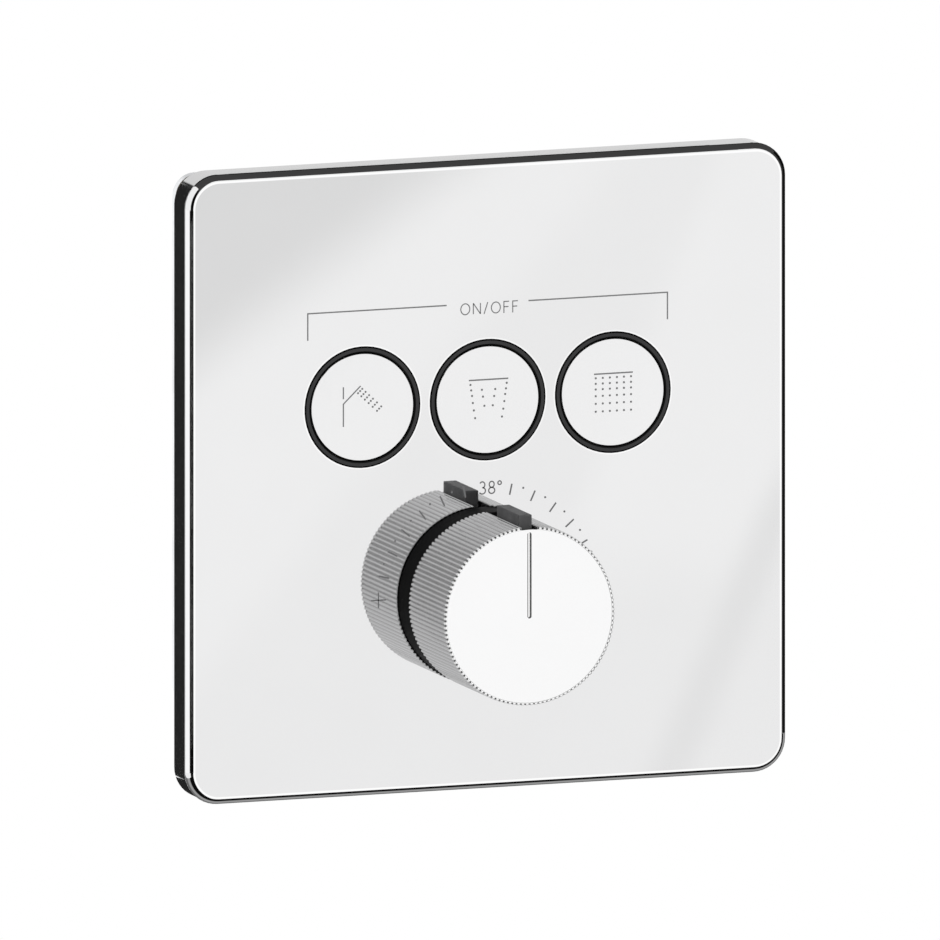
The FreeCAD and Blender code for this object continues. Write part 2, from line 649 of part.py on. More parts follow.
def build_thermostat():
    spindle = new_body("thermostat_spindle", z=KNOB_Z)
    revolve(spindle, [
        ("2.05", "-36.9"), ("3.7", "-36.9"), ("4", "-36.6"), ("4", "-21.6"), ("spindle_radius", "-20.8"),
        ("spindle_radius", "6.1"), ("7.5", "6.1"), ("7.5", "8"), ("screw_thread", "8"),
        ("screw_thread", "20"), ("0", "20"), ("0", "-21"), ("2.05", "-22"),
    ])
    valley = new_sketch(spindle, "XZ_Plane", "25")
    polygon(valley, [("-0.45", "4.2"), ("0", "3.6"), ("0.45", "4.2")])
    spline = pocket(spindle, valley, "13", back=True)
    polar(spindle, spline, "20")

    shell = new_body("thermostat_cartridge", z=KNOB_Z)
    revolve(shell, [
        ("spindle_fit", "-20"), ("9.5", "-20"), ("9.95", "-19.5"), ("9.95", "1"), ("12", "1"),
        ("12", "thermo_front"), ("18.3", "thermo_front"), ("18.3", "17.9"),
        ("thermo_radius", "17.9"), ("thermo_radius", "23"), ("15.4", "23"), ("15.4", "25"),
        ("thermo_radius", "25"), ("thermo_radius", "35"), ("15.4", "35"), ("15.4", "37"),
        ("thermo_radius", "37"), ("thermo_radius", "45"), ("15.4", "45"), ("15.4", "47"),
        ("thermo_radius", "47"), ("thermo_radius", "thermo_back"),
        ("12.05", "thermo_back"), ("12.05", "57"), ("thermo_inner", "57"),
        ("thermo_inner", "6"), ("spindle_fit", "6"),
    ])
    for low, high, count in (("29", "33", "8"), ("39", "43", "8"), ("49", "55", "6")):
        window = new_sketch(shell, "XY_Plane")
        rectangle(window, "-2.6", low, "2.6", high)
        port = pocket(shell, window, "25", back=True)
        polar(shell, port, count)
    keyway = new_sketch(shell, "XZ_Plane", "-6")
    rectangle(keyway, "-11", "-1.6", "11", "1.6")
    pocket(shell, keyway, "20")

    rings = []
    for low in ("23.1", "35.1", "45.1"):
        outer = cylinder("y", "thermo_bore - 0.03", "1.8", "0", low, KNOB_Z)
        inner = cylinder("y", "15.45", "1.8", "0", low, KNOB_Z)
        rings.append(cut(outer, [inner]))
    group(rings, "thermostat_seals")

    nut_hex = hexagon("y", "20.8", "body_front - 2 - 1", "0", "1", KNOB_Z)
    nut_stem = cylinder("y", "18.4", "10", "0", "body_front - 2.01", KNOB_Z)
    nut_hole = cylinder("y", "12.1", "30", "0", "-5", KNOB_Z)
    keep(cut(join([nut_hex, nut_stem]), [nut_hole], "thermostat_gland_nut"), "thermostat_gland_nut")

    lead = new_body("lead_nut", z=KNOB_Z)
    revolve(lead, [
        ("screw_thread + 0.05", "lead_nut_front"), ("lead_nut_radius", "lead_nut_front"),
        ("lead_nut_radius", "lead_nut_back"), ("7.9", "lead_nut_back"), ("7.9", "20.5"),
        ("screw_thread + 0.05", "20.5"),
    ])
    key = new_sketch(lead, "XZ_Plane", "-lead_nut_back + 2")
    for side in ("-1", "1"):
        rectangle(key, "%s * 9" % side, "-1.5", "%s * 10.8" % side, "1.5")
    pad(lead, key, "6")

    element = new_body("thermo_element", z=KNOB_Z)
    revolve(element, [
        ("0", "23"), ("2", "23"), ("2", "30"), ("6.5", "30"), ("7.2", "30.4"), ("7.2", "31.6"),
        ("6.5", "32"), ("4.5", "32"), ("4.5", "51"), ("3.5", "52"), ("0", "52"),
    ])

    shuttle = new_body("mixing_shuttle", z=KNOB_Z)
    revolve(shuttle, [
        ("4.55", "33"), ("6", "33"), ("6", "34.5"), ("8", "34.5"), ("8", "33.5"),
        ("9.43", "33.5"), ("9.43", "38.5"), ("8.4", "38.5"), ("8.4", "36"), ("6", "36"),
        ("6", "38"), ("4.55", "38"),
    ])
    flow = new_sketch(shuttle, "XZ_Plane")
    circle(flow, "7.1", "0", "0.85")
    hole = pocket(shuttle, flow)
    polar(shuttle, hole, "8")

    end_cap = new_body("cartridge_end_cap", z=KNOB_Z)
    revolve(end_cap, [
        ("4", "57.05"), ("12", "57.05"), ("12", "thermo_back - 0.1"), ("4", "thermo_back - 0.1"),
    ])
    vents = new_sketch(end_cap, "XZ_Plane")
    circle(vents, "8.4", "0", "1.6")
    vent = pocket(end_cap, vents)
    polar(end_cap, vent, "6")


# ---------------------------------------------------------------- brass valve body


def build_valve_body():
    rear = "body_back"
    solid = [
        cylinder("y", "thermo_chamber", rear + " - 6", "0", "6", KNOB_Z),
        cylinder("x", "port_radius", "2 * inlet_reach", "-inlet_reach", "inlet_depth", KNOB_Z),
        cylinder("x", "gallery_radius", "gallery_end + 47", "-47", "gallery_depth", "button_height"),
        cylinder("z", "gallery_radius", "button_height - knob_height", "0", "gallery_depth + 1", KNOB_Z),
        block("-11", "11", "20", "gallery_depth", "knob_height + 15", "button_height - 10"),
        block("-button_pitch", "button_pitch", "12", "40", "button_height - 4", "button_height + 4"),
        block("-button_pitch", "button_pitch", "28", "32", "button_height", "outlet_top - 14"),
        block("-4", "4", "40", rear, "-58", "-50"),
        hexagon("x", "port_collar", "7", "inlet_reach - 7", "inlet_depth", KNOB_Z),
        hexagon("x", "port_collar", "7", "-inlet_reach", "inlet_depth", KNOB_Z),
        cylinder("y", "6.5", "26", "0", rear + " - 26", "-58"),
    ]
    bores = [
        cylinder("y", "18.5", "13", "0", "5", KNOB_Z),
        cylinder("y", "thermo_bore", "44", "0", "18", KNOB_Z),
        cylinder("x", "gallery_bore", "gallery_end + 41 + 1", "-41", "gallery_depth", "button_height"),
        cylinder("x", "6.45", "9", "gallery_end - 8", "gallery_depth", "button_height"),
        cylinder("z", "5", "button_height - knob_height - 10", "0", "gallery_depth + 2",
                 "knob_height + 10"),
        cylinder("y", "2.05", "12", "0", rear + " - 11", "-58"),
    ]
    for side, port_y in (("-", "inlet_depth - 5"), ("", "inlet_depth + 5")):
        for radius, start, length in (("port_thread", "inlet_reach - thread_length", "20"),
                                      ("screen_seat", "inlet_reach - thread_length - 2", "3"),
                                      ("7.6", "26", "inlet_reach - thread_length - 26")):
            low = start if side == "" else "-(%s) - (%s)" % (start, length)
            bores.append(cylinder("x", radius, length, low, "inlet_depth", KNOB_Z))
        low = "12" if side == "" else "-12 - 15"
        bores.append(cylinder("x", "4", "15", low, port_y, KNOB_Z))
    for x in AXES.values():
        solid.append(cylinder("y", "chamber_radius", "58 - body_front", x, "body_front", "button_height"))
        solid.append(cylinder("z", "port_radius", "outlet_top - button_height", x, "outlet_depth",
                              "button_height"))
        solid.append(cylinder("z", "port_radius + 0.9", "4.5", x, "outlet_depth", "outlet_top - 4.5"))
        bores.append(cylinder("y", "gland_thread + 0.05", "7", x, "body_front - 1", "button_height"))
        bores.append(cylinder("y", "cart_bore", "42 - 13", x, "13", "button_height"))
        bores.append(cylinder("y", "6.5", "9", x, "41.5", "button_height"))
        bores.append(cylinder("z", "6", "outlet_top - button_height - 6", x, "outlet_depth",
                              "button_height + 5"))
        bores.append(cylinder("z", "port_thread", "thread_length + 1", x, "outlet_depth",
                              "outlet_top - thread_length"))
    for x in ("-button_pitch", "button_pitch"):
        solid.append(cylinder("y", "8", rear + " - 55", x, "55", "button_height"))
        bores.append(cylinder("y", "2.05", "8", x, rear + " - 7.5", "button_height"))
    keep(cut(join(solid), bores, "valve_body"), "valve_body")

    plug = cylinder("x", "6.4", "8", "gallery_end - 8 + 0.05", "gallery_depth", "button_height")
    plug_head = hexagon("x", "8", "3.5", "gallery_end + 0.04", "gallery_depth", "button_height")
    plug_drive = hexagon("x", "3.4", "4", "gallery_end + 1", "gallery_depth", "button_height")
    keep(cut(join([plug, plug_head]), [plug_drive], "gallery_plug"), "gallery_plug")

    for name, side in (("hot", -1), ("cold", 1)):
        valve = new_body(name + "_check_valve", "0", "inlet_depth", KNOB_Z)
        near, far = "26.2", "inlet_reach - thread_length - 2.1"
        outline = [(near, "3.6"), (near, "7.5"), (far, "7.5"), (far, "5.2"), ("38", "5.2"),
                   ("36", "3.6")]
        section = new_sketch(valve)
        polygon(section, [("%d * (%s)" % (side, a), b) for a, b in outline])
        feature(valve, "Revolution", section, ReferenceAxis=(section, ["H_Axis"]), Angle=360)

        screen = new_body(name + "_filter", "0", "inlet_depth", KNOB_Z)
        near, far = "inlet_reach - thread_length - 1.95", "inlet_reach - thread_length - 0.35"
        section = new_sketch(screen)
        polygon(section, [("%d * (%s)" % (side, a), b) for a, b in
                          ((near, "0"), (far, "0"), (far, "screen_seat - 0.1"),
                           (near, "screen_seat - 0.1"))])
        feature(screen, "Revolution", section, ReferenceAxis=(section, ["H_Axis"]), Angle=360)
        mesh = new_sketch(screen, "YZ_Plane")
        circle(mesh, "6", "0", "1.2")
        hole = pocket(screen, mesh, both=True)
        polar(screen, hole, "8", "X_Axis")


def build_bracket():
    body = new_body("mounting_bracket", y="body_back + bracket_thick")
    outline = new_sketch(body, "XZ_Plane")
    rounded(outline, "bracket_half_w", "6", "bracket_half_h")
    pad(body, outline, "bracket_thick")
    lips = new_sketch(body, "XZ_Plane")
    for side in ("-1", "1"):
        rectangle(lips, "%s * (bracket_half_w - bracket_thick)" % side, "-46",
                  "%s * bracket_half_w" % side, "46")
    pad(body, lips, "12")
    holes = new_sketch(body, "XZ_Plane")
    for x, z in corner_points("wall_hole_x", "wall_hole_z"):
        circle(holes, x, z, "wall_hole_radius")
    for x, z in corner_points("post_x", "post_z"):
        circle(holes, x, z, "2.2")
    for x, z in (("-button_pitch", "button_height"), ("button_pitch", "button_height"),
                 ("0", "-58")):
        circle(holes, x, z, "2.2")
    pocket(body, holes, both=True)
    sinks = [(x, z) for x, z in corner_points("post_x", "post_z")]
    sinks += [("-button_pitch", "button_height"), ("button_pitch", "button_height"), ("0", "-58")]
    for x, z in sinks:
        sink = new_sketch(body, "XZ_Plane")
        circle(sink, x, z, "4.3")
        taper = pocket(body, sink, "2", back=True)
        taper.TaperAngle = -45
    windows = new_sketch(body, "XZ_Plane")
    for low, high in (("-40", "-24"), ("24", "40")):
        rectangle(windows, low, "-56", high, "2")
    rectangle(windows, "-24", "34", "24", "60")
    pocket(body, windows, both=True)
    group([countersunk("body_back + bracket_thick", "4.2", "2", "2", "6", -1, x, z) for x, z in
           (("-button_pitch", "button_height"), ("button_pitch", "button_height"), ("0", "-58"))],
          "body_screws")


# ---------------------------------------------------------------- build everything

build_front_plate()
build_plate_frame()
build_wall_seal()
build_trim_carrier()
build_fixings()
for name, x in AXES.items():
    build_button(name, x)
    spring(name + "_return_spring", 4.1, 0.8, 4.5, 8.3, x, "-2.35", "button_height")
build_knob()
build_safety_button()
spring("safety_spring", 2.4, 0.6, 5, 8.7, "0", "-30", "knob_height + 8.4", Rotation())
build_knob_fixings()
build_thermostat()
spring("overload_spring", 6.6, 1.0, 3.5, 9.4, "0", "20.55", KNOB_Z)
spring("regulator_return_spring", 7.2, 0.9, 6, 20.9, "0", "36.05", KNOB_Z)
build_valve_body()
build_bracket()
doc.recompute()

# ---------------------------------------------------------------- check and export

failed = [item.Name for item in doc.Objects
          if any(state in ("Invalid", "Error") for state in item.State)]
if failed:
    raise RuntimeError("did not build: %s" % ", ".join(failed))

os.makedirs("parts", exist_ok=True)
for node in NODES:
    shape = node.Shape
    if shape.isNull() or not shape.isValid() or not shape.Solids:
        raise RuntimeError("%s has no valid solid" % node.Label)
    shape.exportStep("parts/%s.step" % node.Label)
    print("%-28s solids %d  faces %4d  volume %9.1f" % (
        node.Label, len(shape.Solids), len(shape.Faces), shape.Volume))
print("%d nodes" % len(NODES))
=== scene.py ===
import math

import bmesh
import bpy
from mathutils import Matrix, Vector


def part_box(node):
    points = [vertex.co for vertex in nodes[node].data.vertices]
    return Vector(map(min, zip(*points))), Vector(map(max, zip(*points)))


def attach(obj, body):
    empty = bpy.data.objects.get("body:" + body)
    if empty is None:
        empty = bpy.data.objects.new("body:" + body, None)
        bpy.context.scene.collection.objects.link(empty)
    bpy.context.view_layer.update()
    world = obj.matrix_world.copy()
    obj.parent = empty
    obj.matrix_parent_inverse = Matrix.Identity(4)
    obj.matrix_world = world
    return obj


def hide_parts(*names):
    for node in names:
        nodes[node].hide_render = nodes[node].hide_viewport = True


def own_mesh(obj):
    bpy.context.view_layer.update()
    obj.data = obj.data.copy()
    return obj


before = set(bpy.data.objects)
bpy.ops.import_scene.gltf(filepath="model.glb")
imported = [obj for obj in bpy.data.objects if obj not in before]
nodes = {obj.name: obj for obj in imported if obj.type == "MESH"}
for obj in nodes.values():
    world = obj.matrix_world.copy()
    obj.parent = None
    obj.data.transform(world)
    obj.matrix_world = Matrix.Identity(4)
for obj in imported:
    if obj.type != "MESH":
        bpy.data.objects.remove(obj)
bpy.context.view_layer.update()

scene = bpy.context.scene
MM = 0.001

# in metres: the face of the plate, the axes of the buttons and the knob, and the middle of the
# scale printed round the knob
FACE = -12.3 * MM
BUTTONS = {"hand": -35.5 * MM, "jet": 0.0, "rain": 35.5 * MM}
BUTTON_Z = 20.2 * MM
KNOB_Z = -33.2 * MM
PRINT_Z = -34.15 * MM

# in millimetres: the plate's half width and the radius of its corners, the knob's front, the back
# of its knurled sleeve, and the pointer milled in its disc
EDGE, CORNER = 85.0, 9.0
KNOB_FRONT = -45.0
SLEEVE_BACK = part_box("knob_sleeve")[1].y / MM
POINTER_LENGTH, POINTER_HALF = 22.1, 0.5
TEETH = 120

# bands in millimetres: where the plate's outer rounding starts, from a corner's axis; where the
# # rounding of a button hole starts and where a bezel's crown is flat, from a button's axis. The
# # first two carry a painted highlight; outside the crown a bezel's edges carry painted shade.
RIM_HIGHLIGHT_BAND = (6.85, 7.4)
HOLE_HIGHLIGHT_BAND = (16.3, 16.78)
CROWN_BAND = (15.12, 15.98)

# the angles of the photographed view, in degrees
VIEW_AZIMUTH, VIEW_ELEVATION = -20.0, 9.5


def towards(azimuth, elevation):
    """The unit direction away from the valve at two angles in degrees."""
    a, e = math.radians(azimuth), math.radians(elevation)
    return Vector((math.sin(a) * math.cos(e), -math.cos(a) * math.cos(e), math.sin(e)))


def build(name, mesh, material):
    """An object from a bmesh, which is freed."""
    data = bpy.data.meshes.new(name)
    mesh.to_mesh(data)
    mesh.free()
    data.materials.append(material)
    made = bpy.data.objects.new(name, data)
    scene.collection.objects.link(made)
    return made


# ---------------------------------------------------------------- materials

# sockets of the Mix node that share a name
COLOUR_A, COLOUR_B, COLOUR_OUT = 6, 7, 2
FLOAT_FACTOR, FLOAT_A, FLOAT_B, FLOAT_OUT = 0, 2, 3, 0

BLACK = (0.004, 0.004, 0.004)


def shade(colour, factor):
    return [c * factor for c in colour]


class Shader:
    """A node tree with a few helpers; places are in the object's own coordinates."""

    def start(self, name):
        self.material = bpy.data.materials.new(name)
        self.material.use_nodes = True
        self.tree = self.material.node_tree

    def node(self, kind, **settings):
        made = self.tree.nodes.new(kind)
        for key, value in settings.items():
            setattr(made, key, value)
        return made

    def link(self, a, b):
        self.tree.links.new(a, b)

    def feed(self, value, socket):
        """A link when the value is an output, else the plain value."""
        if hasattr(value, "links"):
            self.link(value, socket)
        else:
            socket.default_value = value

    def math(self, operation, *values):
        made = self.node("ShaderNodeMath", operation=operation)
        for value, socket in zip(values, made.inputs):
            self.feed(value, socket)
        return made.outputs[0]

    def step(self, value, start, end):
        """0 at start and 1 at end, smoothly; a start above the end works the other way round."""
        made = self.node("ShaderNodeMapRange", interpolation_type="SMOOTHSTEP")
        made.inputs["From Min"].default_value = start
        made.inputs["From Max"].default_value = end
        self.link(value, made.inputs["Value"])
        return made.outputs["Result"]

    def window(self, value, low, high, soft):
        """1 between low and high, with soft ends."""
        return self.math("MULTIPLY", self.step(value, low - soft, low + soft),
                         self.step(value, high + soft, high - soft))

    def split(self):
        """The place's X, Y and Z in millimetres."""
        grown = self.node("ShaderNodeVectorMath", operation="SCALE")
        grown.inputs["Scale"].default_value = 1 / MM
        self.link(self.place, grown.inputs[0])
        made = self.node("ShaderNodeSeparateXYZ")
        self.link(grown.outputs[0], made.inputs[0])
        return made.outputs

    def length(self, a, b):
        return self.math("SQRT", self.math("ADD", self.math("MULTIPLY", a, a),
                                           self.math("MULTIPLY", b, b)))

    def radius(self, x, z):
        """Millimetres from an axis that runs along Y."""
        px, _, pz = self.split()
        return self.length(self.math("SUBTRACT", px, x), self.math("SUBTRACT", pz, z))


class Surface(Shader):
    """A Principled material and what builds the inputs that feed it."""

    def __init__(self, name, metallic, roughness, **sockets):
        self.start(name)
        self.shader = self.tree.nodes["Principled BSDF"]
        self.shader.inputs["Metallic"].default_value = metallic
        self.shader.inputs["Roughness"].default_value = roughness
        for key, value in sockets.items():
            self.shader.inputs[key.replace("_", " ")].default_value = value
        self.place = self.node("ShaderNodeTexCoord").outputs["Object"]
        self.normal = None

    def stretched(self, scale, shift=(0, 0, 0)):
        mapping = self.node("ShaderNodeMapping")
        mapping.inputs["Scale"].default_value = scale
        mapping.inputs["Location"].default_value = shift
        self.link(self.place, mapping.inputs["Vector"])
        return mapping.outputs["Vector"]

    def noise(self, scale, detail, rough, vector=None, distortion=0.0):
        made = self.node("ShaderNodeTexNoise")
        made.inputs["Scale"].default_value = scale
        made.inputs["Detail"].default_value = detail
        made.inputs["Roughness"].default_value = rough
        made.inputs["Distortion"].default_value = distortion
        self.link(vector or self.place, made.inputs["Vector"])
        return made.outputs["Fac"]

    def cells(self, scale):
        made = self.node("ShaderNodeTexVoronoi")
        made.inputs["Scale"].default_value = scale
        self.link(self.place, made.inputs["Vector"])
        return made.outputs["Color"]

    def ramp(self, fac, low, high, start=0.3, end=0.7):
        """From low to high while the factor runs from start to end."""
        made = self.node("ShaderNodeMapRange")
        made.inputs["From Min"].default_value = start
        made.inputs["From Max"].default_value = end
        made.inputs["To Min"].default_value = low
        made.inputs["To Max"].default_value = high
        self.link(fac, made.inputs["Value"])
        return made.outputs["Result"]

    def blend(self, fac, a, b):
        """Colour a where the factor is 0, and b where it is 1."""
        made = self.node("ShaderNodeMix", data_type="RGBA")
        self.link(fac, made.inputs["Factor"])
        for value, socket in ((a, COLOUR_A), (b, COLOUR_B)):
            self.feed(value if hasattr(value, "links") else (*value, 1), made.inputs[socket])
        return made.outputs[COLOUR_OUT]

    def colour(self, socket):
        self.link(socket, self.shader.inputs["Base Color"])

    def rough(self, socket):
        self.link(socket, self.shader.inputs["Roughness"])

    def bump(self, height, distance, strength):
        """Adds a relief on top of the ones before it."""
        made = self.node("ShaderNodeBump")
        made.inputs["Distance"].default_value = distance
        made.inputs["Strength"].default_value = strength
        self.link(height, made.inputs["Height"])
        if self.normal:
            self.link(self.normal, made.inputs["Normal"])
        self.normal = made.outputs["Normal"]
        self.link(self.normal, self.shader.inputs["Normal"])


def chrome(name, colour, rough, haze, shift=0.0, paint=None):
    """Plated metal: polishing haze in the roughness and the faintest cloud in the tone."""
    s = Surface(name, 1.0, rough)
    cloud = s.noise(34, 4, 0.6, s.stretched((1, 1, 1), (shift, shift, shift)))
    tint = s.blend(s.ramp(cloud, 0, 1), shade(colour, 1 - 0.012), colour)
    s.colour(paint(s, tint) if paint else tint)
    wipe = s.noise(900, 3, 0.6, s.stretched((1, 1, 0.12), (shift, 0, 0)))
    s.rough(s.ramp(wipe, rough, rough + haze))
    s.bump(s.noise(2600, 2, 0.5), 0.0000004, 0.25)
    return s.material


def plate_edge_highlights(s, tint):
    """Painted highlight: a white band where every rounding starts, along the plate's outer edge and
    round the button holes.
    """
    x, _, z = s.split()
    dx, dz = (s.math("MAXIMUM", s.math("SUBTRACT", s.math("ABSOLUTE", v), EDGE - CORNER), 0.0)
              for v in (x, z))
    rim_highlight = s.window(s.length(dx, dz), *RIM_HIGHLIGHT_BAND, 0.08)
    nearest = None
    for place in BUTTONS.values():
        r = s.radius(place / MM, BUTTON_Z / MM)
        nearest = s.math("MINIMUM", nearest, r) if nearest else r
    hole_highlight = s.window(nearest, *HOLE_HIGHLIGHT_BAND, 0.06)
    return s.blend(s.math("MAXIMUM", rim_highlight, hole_highlight), tint, (1.0, 1.0, 1.0))


def knurl(s, tint):
    """Painted shade in the valleys, black where they run out; painted highlights on the teeth's front
    chamfer with painted shade in the gaps between them; a white front ring with painted shade in its
    notches.
    """
    x, y, z = s.split()
    r = s.radius(0.0, KNOB_Z / MM)
    # along the sleeve: painted shade in the valleys, and black painted shade where they run out
    valley_shade = s.step(r, 24.0, 23.84)
    front_end = s.step(y, KNOB_FRONT + 0.8, KNOB_FRONT + 0.7)
    back_end = s.step(y, SLEEVE_BACK - 0.5, SLEEVE_BACK - 0.4)
    valley_end_shade = s.math("MULTIPLY", valley_shade, s.math("MAXIMUM", front_end, back_end))
    shaded_flank = s.blend(valley_end_shade, s.blend(valley_shade, tint, (0.34, 0.34, 0.342)), BLACK)
    # the chamfer at its front: painted highlight on the teeth, black painted shade in the gaps between
    # them
    around = s.math("ARCTAN2", s.math("SUBTRACT", z, KNOB_Z / MM), x)
    gap = s.step(s.math("COSINE", s.math("MULTIPLY", around, TEETH)), 0.1, 0.4)
    chamfer = s.step(y, KNOB_FRONT + 0.4, KNOB_FRONT + 0.34)
    edge = s.blend(gap, (0.7, 0.7, 0.702), BLACK)
    # the flat ring round the disc: white, with black painted shade in the notches between the teeth
    ring = s.math("MULTIPLY", s.step(y, KNOB_FRONT + 0.05, KNOB_FRONT + 0.02), s.step(r, 23.8, 23.72))
    notch_shade = s.math("MULTIPLY", gap, s.step(r, 23.52, 23.6))
    ring_with_notch_shade = s.blend(notch_shade, (0.98, 0.98, 0.982), BLACK)
    return s.blend(ring, s.blend(chamfer, shaded_flank, edge), ring_with_notch_shade)


def pointer(s, tint):
    """The milled pointer: painted shade on its walls, along their foot and over the left half of its
    floor.
    """
    x, y, z = s.split()
    up = s.math("SUBTRACT", z, KNOB_Z / MM)
    along = s.math("MINIMUM", s.math("MAXIMUM", up, 0.0), POINTER_LENGTH)
    beside = s.length(x, s.math("SUBTRACT", up, along))
    wall_shade = s.math("MAXIMUM", s.step(beside, POINTER_HALF, POINTER_HALF + 0.1),
                  s.step(x, -0.06, -0.14))
    deep = s.math("MULTIPLY", s.step(y, KNOB_FRONT + 0.02, KNOB_FRONT + 0.1), wall_shade)
    return s.blend(deep, tint, (0.035, 0.035, 0.036))


def ring_edge_shade(middle):
    """Bezel rings carry painted shade along both edges, darker there than on their flat crown."""
    def paint(s, tint):
        crown = s.window(s.radius(middle, BUTTON_Z / MM), *CROWN_BAND, 0.07)
        return s.blend(crown, (0.002, 0.002, 0.002), tint)
    return paint


def plastic(name, colour, rough, grain=2400, deep=0.000012, tone=0.12, paint=None, **sockets):
    """Moulded plastic: fine spark-eroded grain and a slight mottle."""
    s = Surface(name, 0.0, rough, **sockets)
    mottle = s.noise(160, 4, 0.6)
    tint = s.blend(s.ramp(mottle, 0, 1), shade(colour, 1 - tone), colour)
    s.colour(paint(s, tint) if paint else tint)
    s.rough(s.ramp(s.noise(420, 3, 0.6), rough * 0.9, rough * 1.15))
    s.bump(s.noise(grain, 3, 0.6), deep, 0.6)
    return s.material


def turned(name, colour, rough, pitch=260.0):
    """Metal off the lathe: feed marks as fine rings, with a little stain."""
    s = Surface(name, 1.0, rough)
    stain = s.noise(120, 5, 0.62)
    s.colour(s.blend(s.ramp(stain, 0, 1), shade(colour, 1 - 0.08), colour))
    s.rough(s.ramp(s.noise(700, 3, 0.6), rough * 0.85, rough * 1.25))
    feed = s.node("ShaderNodeTexWave", wave_type="BANDS", bands_direction="Y")
    feed.inputs["Scale"].default_value = pitch
    feed.inputs["Distortion"].default_value = 0.6
    s.link(s.place, feed.inputs["Vector"])
    s.bump(feed.outputs["Fac"], 0.00001, 0.35)
    return s.material


def cast(name, colour, rough):
    """Sand-cast brass: open grain, darker in the pits, brighter where it was tumbled."""
    s = Surface(name, 1.0, rough)
    sand = s.noise(1500, 5, 0.65)
    stain = s.noise(55, 5, 0.6, distortion=0.4)
    skin = s.blend(s.ramp(stain, 0, 1), shade(colour, 0.72), colour)
    s.colour(s.blend(s.ramp(sand, 0, 1, 0.25, 0.6), shade(colour, 0.62), skin))
    s.rough(s.ramp(sand, rough + 0.14, rough - 0.06))
    s.bump(sand, 0.00012, 0.6)
    s.bump(s.noise(240, 3, 0.5), 0.0003, 0.35)
    return s.material


def zinc(name, colour, rough):
    """Bright zinc plate on sheet steel: blurred crystals and rolling streaks."""
    s = Surface(name, 1.0, rough)
    crystal = s.node("ShaderNodeSeparateColor")
    s.link(s.cells(170), crystal.inputs[0])
    tone, gloss = crystal.outputs[0], crystal.outputs[1]
    streak = s.noise(60, 4, 0.6, s.stretched((9, 9, 0.8)))
    tint = s.blend(s.ramp(streak, 0, 1), shade(colour, 0.84), colour)
    s.colour(s.blend(s.ramp(tone, 0, 0.35, 0, 1), tint, shade(colour, 0.8)))
    s.rough(s.ramp(gloss, rough - 0.06, rough + 0.1, 0, 1))
    s.bump(s.noise(1300, 3, 0.6), 0.000012, 0.4)
    return s.material


def rubber(name, colour):
    """Moulded seal: matt, with a paler bloom."""
    s = Surface(name, 0.0, 0.62)
    s.shader.inputs["Specular IOR Level"].default_value = 0.35
    bloom = s.noise(210, 5, 0.65)
    s.colour(s.blend(s.ramp(bloom, 0, 1), colour, [min(1, c * 2.1 + 0.006) for c in colour]))
    s.rough(s.ramp(s.noise(900, 3, 0.6), 0.52, 0.74))
    s.bump(s.noise(3200, 3, 0.6), 0.00002, 0.5)
    return s.material


def ink(name, colour):
    """Screen-printed ink: a dense matt film with the weave of the screen in it."""
    s = Surface(name, 0.0, 0.5)
    s.shader.inputs["Specular IOR Level"].default_value = 0.25
    s.colour(s.blend(s.ramp(s.noise(2200, 3, 0.6), 0, 1), shade(colour, 0.9), colour))
    s.rough(s.ramp(s.noise(1800, 2, 0.6), 0.42, 0.6))
    s.bump(s.noise(9000, 2, 0.6), 0.000002, 0.4)
    return s.material


MATERIALS = {
    # the plate, the knurl and the knob's face get painted light from their paint functions: highlights
    # at the plate's roundings, shade and highlights on the knurl, shade in the pointer
    "plate_chrome": chrome("plate_chrome_painted_highlights", (0.855, 0.855, 0.858), 0.022, 0.012, paint=plate_edge_highlights),
    "frame_chrome": chrome("frame_finish", (0.80, 0.80, 0.803), 0.05, 0.02, shift=0.3),
    "button_chrome": chrome("button_finish", (0.885, 0.885, 0.888), 0.09, 0.03, shift=0.6),
    "knob_metal": chrome("knurl_chrome_painted_light", (0.45, 0.45, 0.453), 0.2, 0.05, shift=0.9, paint=knurl),
    "knob_face": chrome("knob_face_chrome_painted_shade", (0.98, 0.98, 0.982), 0.14, 0.03, shift=0.2,
                        paint=pointer),
    "black_plastic": plastic("black_moulding", (0.009, 0.009, 0.0095), 0.3, deep=0.000004,
                             tone=0.25, IOR=1.08),
    "grey_plastic": plastic("grey_moulding", (0.2, 0.205, 0.21), 0.42),
    "cartridge_plastic": plastic("cartridge_moulding", (0.62, 0.615, 0.57), 0.36),
    "seal_rubber": rubber("seal_compound", (0.012, 0.012, 0.012)),
    "cast_brass": cast("sand_cast_brass", (0.62, 0.45, 0.2), 0.42),
    "turned_brass": turned("turned_brass_finish", (0.72, 0.55, 0.27), 0.24),
    "zinc_steel": zinc("zinc_plate", (0.74, 0.75, 0.765), 0.3),
    "stainless_steel": turned("stainless_finish", (0.58, 0.575, 0.565), 0.22, pitch=420.0),
}

# mouldings whose black differs from the rest
OWN = {
    "safety_button": plastic("tab_moulding", (0.13, 0.13, 0.132), 0.34, grain=3600, deep=0.00003,
                             tone=0.3, IOR=1.06),
    "knob_base_ring": plastic("base_ring_moulding", (0.006, 0.006, 0.0062), 0.35, deep=0.000004,
                              IOR=1.03),
}
# the bezel rings' mouldings carry painted shade along both edges
for place, middle in BUTTONS.items():
    OWN[place + "_bezel"] = plastic(place + "_ring_moulding", (0.052, 0.052, 0.053), 0.25,
                                    deep=0.000002, paint=ring_edge_shade(middle / MM), IOR=1.12)

for name, piece in nodes.items():
    for holder in piece.material_slots:
        holder.material = OWN.get(name) or MATERIALS[holder.material.name.split(".")[0]]

# ---------------------------------------------------------------- springs


